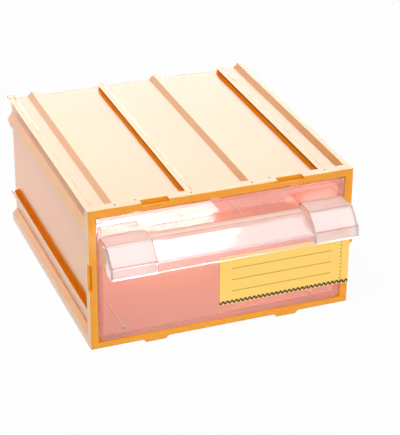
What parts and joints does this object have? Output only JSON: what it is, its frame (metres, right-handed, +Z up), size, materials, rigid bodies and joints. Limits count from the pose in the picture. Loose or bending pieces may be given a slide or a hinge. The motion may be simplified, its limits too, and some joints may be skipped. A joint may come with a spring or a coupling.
{
  "type": "stackable drawer box",
  "caption": "Stackable small-parts drawer box: an orange moulded housing with dovetail coupling rails and a clear pull-out drawer with a hood handle and a blank label.",
  "frame": {"origin": "middle of the box's whole outline, handle and side rail included, at the level of the bottom rails it stands on", "axes": "+Z up, front and handle face -Y, +X to the right when looking at the front"},
  "size_m": [0.1748, 0.208, 0.0977],
  "materials": {
    "housing_plastic": "semi-gloss moulded polypropylene, orange",
    "drawer_clear": "clear moulded polystyrene",
    "label_paper": "coated self-adhesive label, yellow-orange"
  },
  "bodies": {
    "housing": {"housing": "housing_plastic", "seal_tab": "label_paper"},
    "drawer": {"drawer": "drawer_clear", "front_label": "label_paper"}
  },
  "joints": [
    {"name": "drawer_slide", "type": "slide", "parent": "housing", "child": "drawer", "axis": [0, -1, 0], "range_m": [0, 0.15]}
  ]
}
